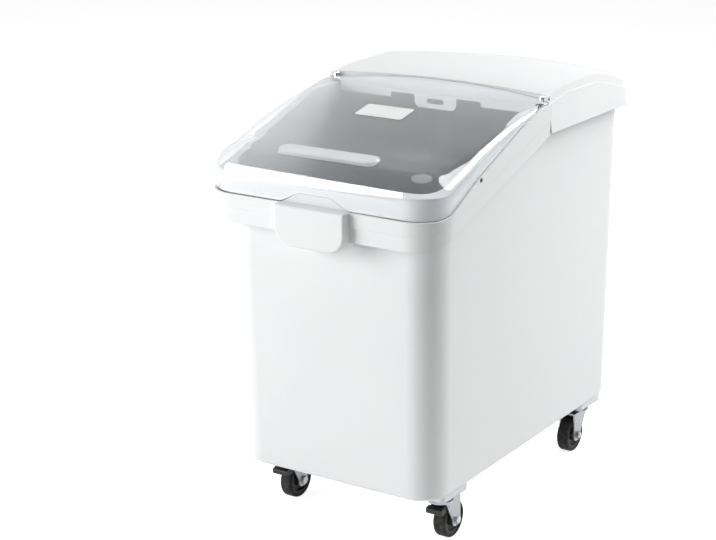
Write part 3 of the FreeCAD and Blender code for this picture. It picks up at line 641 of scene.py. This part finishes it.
def screw_tree():
    """Puts a screw, head down, on each point and turns each one by its own angle."""
    tree = bpy.data.node_groups.new("plate_screws", "GeometryNodeTree")
    face = tree.interface
    face.new_socket("Places", in_out="INPUT", socket_type="NodeSocketGeometry")
    for name in ("Head radius", "Head height", "Shank radius", "Shank length",
                 "Recess length", "Recess width", "Recess depth"):
        face.new_socket(name, in_out="INPUT", socket_type="NodeSocketFloat")
    face.new_socket("Seed", in_out="INPUT", socket_type="NodeSocketInt")
    face.new_socket("Finish", in_out="INPUT", socket_type="NodeSocketMaterial")
    face.new_socket("Screws", in_out="OUTPUT", socket_type="NodeSocketGeometry")
    start = tree.nodes.new("NodeGroupInput")
    end = tree.nodes.new("NodeGroupOutput")

    def math_node(operation, *values):
        node = tree.nodes.new("ShaderNodeMath")
        node.operation = operation
        for i, value in enumerate(values):
            if isinstance(value, (int, float)):
                node.inputs[i].default_value = value
            else:
                tree.links.new(value, node.inputs[i])
        return node.outputs[0]

    def vector(x=0.0, y=0.0, z=0.0):
        node = tree.nodes.new("ShaderNodeCombineXYZ")
        for i, value in enumerate((x, y, z)):
            if isinstance(value, (int, float)):
                node.inputs[i].default_value = value
            else:
                tree.links.new(value, node.inputs[i])
        return node.outputs[0]

    def moved(geometry, offset):
        node = tree.nodes.new("GeometryNodeTransform")
        tree.links.new(geometry, node.inputs["Geometry"])
        tree.links.new(offset, node.inputs["Translation"])
        return node.outputs[0]

    radius, height = start.outputs["Head radius"], start.outputs["Head height"]
    head = tree.nodes.new("GeometryNodeMeshCylinder")
    head.inputs["Vertices"].default_value = 40
    head.inputs["Side Segments"].default_value = 3
    head.inputs["Fill Segments"].default_value = 5
    tree.links.new(radius, head.inputs["Radius"])
    tree.links.new(height, head.inputs["Depth"])
    place = tree.nodes.new("GeometryNodeInputPosition")
    split = tree.nodes.new("ShaderNodeSeparateXYZ")
    link(tree, place, 0, split, 0)
    across = math_node("SQRT", math_node("ADD", math_node("POWER", split.outputs["X"], 2.0),
                                         math_node("POWER", split.outputs["Y"], 2.0)))
    share = math_node("DIVIDE", across, radius)
    fullness = math_node("POWER", share, 5.0)
    below = math_node("SUBTRACT", 0.5, math_node("DIVIDE", split.outputs["Z"], height))
    lift = math_node("MULTIPLY", math_node("MULTIPLY", fullness, below), math_node("MULTIPLY", height, 0.55))
    domed = tree.nodes.new("GeometryNodeSetPosition")
    link(tree, head, "Mesh", domed, "Geometry")
    tree.links.new(vector(z=lift), domed.inputs["Offset"])

    bars = []
    for lengthwise in (True, False):
        bar = tree.nodes.new("GeometryNodeMeshCube")
        length, width = start.outputs["Recess length"], start.outputs["Recess width"]
        size = (length, width) if lengthwise else (width, length)
        depth = math_node("MULTIPLY", start.outputs["Recess depth"], 2.0)
        tree.links.new(vector(*size, depth), bar.inputs["Size"])
        bars.append(moved(bar.outputs["Mesh"], vector(z=math_node("MULTIPLY", height, -0.5))))
    recessed = tree.nodes.new("GeometryNodeMeshBoolean")
    recessed.operation = "DIFFERENCE"
    link(tree, domed, "Geometry", recessed, "Mesh 1")
    for bar in bars:
        tree.links.new(bar, recessed.inputs["Mesh 2"])

    shank = tree.nodes.new("GeometryNodeMeshCylinder")
    shank.inputs["Vertices"].default_value = 24
    tree.links.new(start.outputs["Shank radius"], shank.inputs["Radius"])
    tree.links.new(start.outputs["Shank length"], shank.inputs["Depth"])
    shank_middle = math_node("MULTIPLY", math_node("SUBTRACT", start.outputs["Shank length"], height), 0.5)
    screw = tree.nodes.new("GeometryNodeJoinGeometry")
    tree.links.new(moved(recessed.outputs[0], vector(z=math_node("MULTIPLY", height, -0.5))), screw.inputs[0])
    tree.links.new(moved(shank.outputs["Mesh"], vector(z=shank_middle)), screw.inputs[0])

    turn = tree.nodes.new("FunctionNodeRandomValue")
    turn.inputs["Max"].default_value = math.tau
    link(tree, start, "Seed", turn, "Seed")
    placed = tree.nodes.new("GeometryNodeInstanceOnPoints")
    link(tree, start, "Places", placed, "Points")
    tree.links.new(screw.outputs[0], placed.inputs["Instance"])
    tree.links.new(vector(z=[o for o in turn.outputs if o.enabled][0]), placed.inputs["Rotation"])
    real = tree.nodes.new("GeometryNodeRealizeInstances")
    finish = tree.nodes.new("GeometryNodeSetMaterial")
    tree.links.new(placed.outputs[0], real.inputs[0])
    tree.links.new(real.outputs[0], finish.inputs["Geometry"])
    link(tree, start, "Finish", finish, "Material")
    tree.links.new(finish.outputs[0], end.inputs["Screws"])
    return tree


screw_low, screw_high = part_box("caster_screws")
plate_underside = screw_low.z + SCREW_HEAD_HEIGHT
places = bpy.data.meshes.new("screw_places")
points = []
for caster in CASTERS:
    low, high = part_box(f"{caster}_mounting_plate")
    middle = (low + high) / 2
    for dx in (-SCREW_HALF_X, SCREW_HALF_X):
        for dy in (-SCREW_HALF_Y, SCREW_HALF_Y):
            points.append((middle.x + dx, middle.y + dy, plate_underside))
places.from_pydata(points, [], [])
sower = bpy.data.objects.new("screw_places", places)
bpy.context.scene.collection.objects.link(sower)
modifier = sower.modifiers.new("screws", "NODES")
modifier.node_group = screw_tree()
screw_values = {
    "Head radius": SCREW_HEAD_RADIUS,
    "Head height": SCREW_HEAD_HEIGHT,
    "Shank radius": SCREW_SHANK_RADIUS,
    "Shank length": screw_high.z - plate_underside,
    "Recess length": RECESS_LENGTH,
    "Recess width": RECESS_WIDTH,
    "Recess depth": RECESS_DEPTH,
    "Seed": SCREW_SEED,
    # The screws share the zinc whose darkened tones are painted shade.
    "Finish": zinc_with_painted_shade,
}
for item in modifier.node_group.interface.items_tree:
    if item.name in screw_values:
        modifier[item.identifier] = screw_values[item.name]
bpy.context.view_layer.update()
evaluated = sower.evaluated_get(bpy.context.evaluated_depsgraph_get())
screws = bpy.data.meshes.new_from_object(evaluated)
screws.name = "plate_screws"
bpy.data.objects.remove(sower)
finished(screws, "root", "zinc_plated", "caster_screws")

# The studio: a pale floor that runs out of sight, soft lamps and the camera of the photograph.
PHOTO_WIDTH = 716
PHOTO_HEIGHT = 540
FOCAL_PIXELS = 1800
PHOTO_CENTRE = (433.87, 276.32)
SENSOR = 36.0
CAMERA_AT = Vector((1.5329, -2.4723, 1.2604))
CAMERA_LOOK = Vector((-0.5015, 0.8137, -0.2939))
camera_data = bpy.data.cameras.new("photo_camera")
camera_data.sensor_width = SENSOR
camera_data.lens = FOCAL_PIXELS / PHOTO_WIDTH * SENSOR
camera_data.shift_x = (PHOTO_WIDTH / 2 - PHOTO_CENTRE[0]) / PHOTO_WIDTH
camera_data.shift_y = (PHOTO_CENTRE[1] - PHOTO_HEIGHT / 2) / PHOTO_WIDTH
camera = bpy.data.objects.new("photo_camera", camera_data)
bpy.context.scene.collection.objects.link(camera)
camera.location = CAMERA_AT
camera.rotation_mode = "QUATERNION"
camera.rotation_quaternion = CAMERA_LOOK.to_track_quat("-Z", "Y")
bpy.context.scene.camera = camera


def seen_rays(tree):
    """1 for the rays that show the background: those of the camera, of gloss and of glass."""
    path = tree.nodes.new("ShaderNodeLightPath")
    first = tree.nodes.new("ShaderNodeMath")
    first.operation = "MAXIMUM"
    link(tree, path, "Is Camera Ray", first, 0)
    link(tree, path, "Is Glossy Ray", first, 1)
    second = tree.nodes.new("ShaderNodeMath")
    second.operation = "MAXIMUM"
    link(tree, first, "Value", second, 0)
    link(tree, path, "Is Transmission Ray", second, 1)
    unscattered = tree.nodes.new("ShaderNodeMath")
    unscattered.operation = "LESS_THAN"
    unscattered.inputs[1].default_value = 0.5
    link(tree, path, "Diffuse Depth", unscattered, 0)
    seen = tree.nodes.new("ShaderNodeMath")
    seen.operation = "MULTIPLY"
    link(tree, second, "Value", seen, 0)
    link(tree, unscattered, "Value", seen, 1)
    return seen


FLOOR_HALF = 9.0
floor_mesh = bpy.data.meshes.new("floor")
corners = [(-FLOOR_HALF, -FLOOR_HALF, 0), (FLOOR_HALF, -FLOOR_HALF, 0), (FLOOR_HALF, FLOOR_HALF, 0), (-FLOOR_HALF, FLOOR_HALF, 0)]
floor_mesh.from_pydata(corners, [], [(0, 1, 2, 3)])
floor = bpy.data.objects.new("floor", floor_mesh)
bpy.context.scene.collection.objects.link(floor)
floor_material = bpy.data.materials.new("studio_floor")
floor_material.use_nodes = True
tree = floor_material.node_tree
shader = tree.nodes["Principled BSDF"]
shader.inputs["Base Color"].default_value = (0.88, 0.88, 0.88, 1)
shader.inputs["Roughness"].default_value = 0.9
shader.inputs["Specular IOR Level"].default_value = 0
shader.inputs["Emission Color"].default_value = (1, 1, 1, 1)
glow = tree.nodes.new("ShaderNodeMath")
glow.operation = "MULTIPLY"
glow.inputs[1].default_value = 0.8
link(tree, seen_rays(tree), "Value", glow, 0)
link(tree, glow, "Value", shader, "Emission Strength")
floor_mesh.materials.append(floor_material)

AMBIENT = 0.155
world = bpy.data.worlds.new("studio")
world.use_nodes = True
bpy.context.scene.world = world
tree = world.node_tree
background = tree.nodes["Background"]
background.inputs["Color"].default_value = (1, 1, 1, 1)
level = tree.nodes.new("ShaderNodeMapRange")
level.inputs["To Min"].default_value = AMBIENT
level.inputs["To Max"].default_value = 1
link(tree, seen_rays(tree), "Value", level, "Value")
link(tree, level, "Result", background, "Strength")


def soft_lamp(name, azimuth, elevation, distance, width, watts):
    """A round soft box that looks at the middle of the bin."""
    data = bpy.data.lights.new(name, "AREA")
    data.shape = "DISK"
    data.size = width
    data.energy = watts
    lamp = bpy.data.objects.new(name, data)
    bpy.context.scene.collection.objects.link(lamp)
    turn = math.radians(azimuth)
    lift = math.radians(elevation)
    away = Vector((math.sin(turn) * math.cos(lift), -math.cos(turn) * math.cos(lift), math.sin(lift)))
    lamp.location = Vector((0, 0, 0.36)) + away * distance
    lamp.rotation_mode = "QUATERNION"
    lamp.rotation_quaternion = (-away).to_track_quat("-Z", "Y")


soft_lamp("left_lamp", -43, 11, 3.8, 2.4, 118)
soft_lamp("right_lamp", 136, 37, 2.6, 1.9, 55)
soft_lamp("top_lamp", 20, 86, 2.6, 2.0, 20)

bpy.context.scene.view_settings.view_transform = "Standard"
